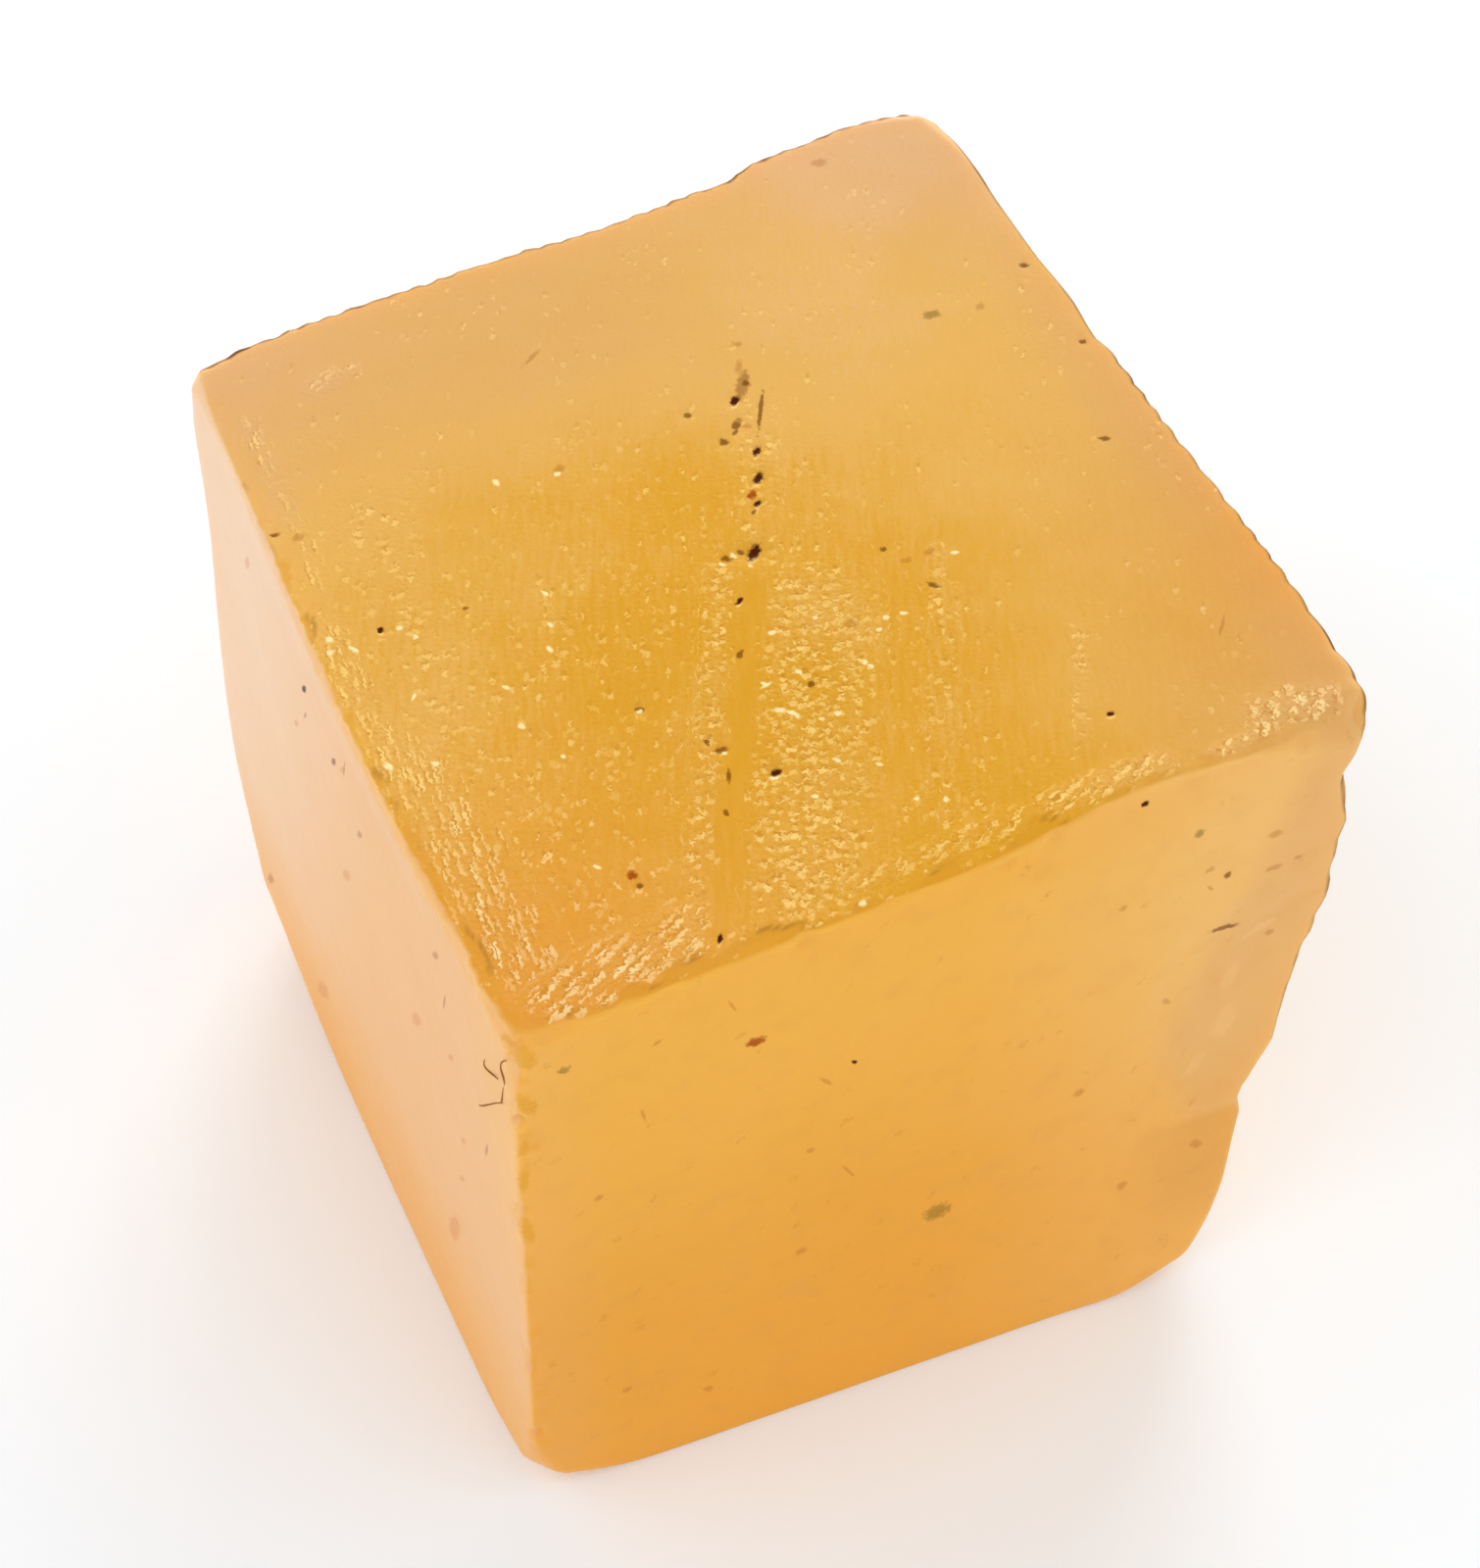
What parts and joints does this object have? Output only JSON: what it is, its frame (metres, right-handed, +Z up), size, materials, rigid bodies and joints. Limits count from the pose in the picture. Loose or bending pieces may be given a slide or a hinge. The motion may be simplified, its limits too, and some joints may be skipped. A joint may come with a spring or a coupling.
{
  "type": "sapphire cube",
  "caption": "Rough yellow sapphire sawn to a cube: one milky, translucent stone with worn edges, a flaked corner and a line of dark pits across the top; rests on its sawn base.",
  "frame": {"origin": "middle of the outline, on the surface that the stone rests on", "axes": "+Z up; -Y is the smooth front face; +X is the side with the flaked upright edge; +Y is the back, with the saw step"},
  "size_m": [0.0206, 0.0226, 0.0206],
  "materials": {
    "sapphire": "milky honey-yellow corundum, translucent, satin where lapped, fine saw marks and small open pits on the top"
  },
  "bodies": {
    "root": {"sapphire_cube": "sapphire"}
  },
  "joints": []
}
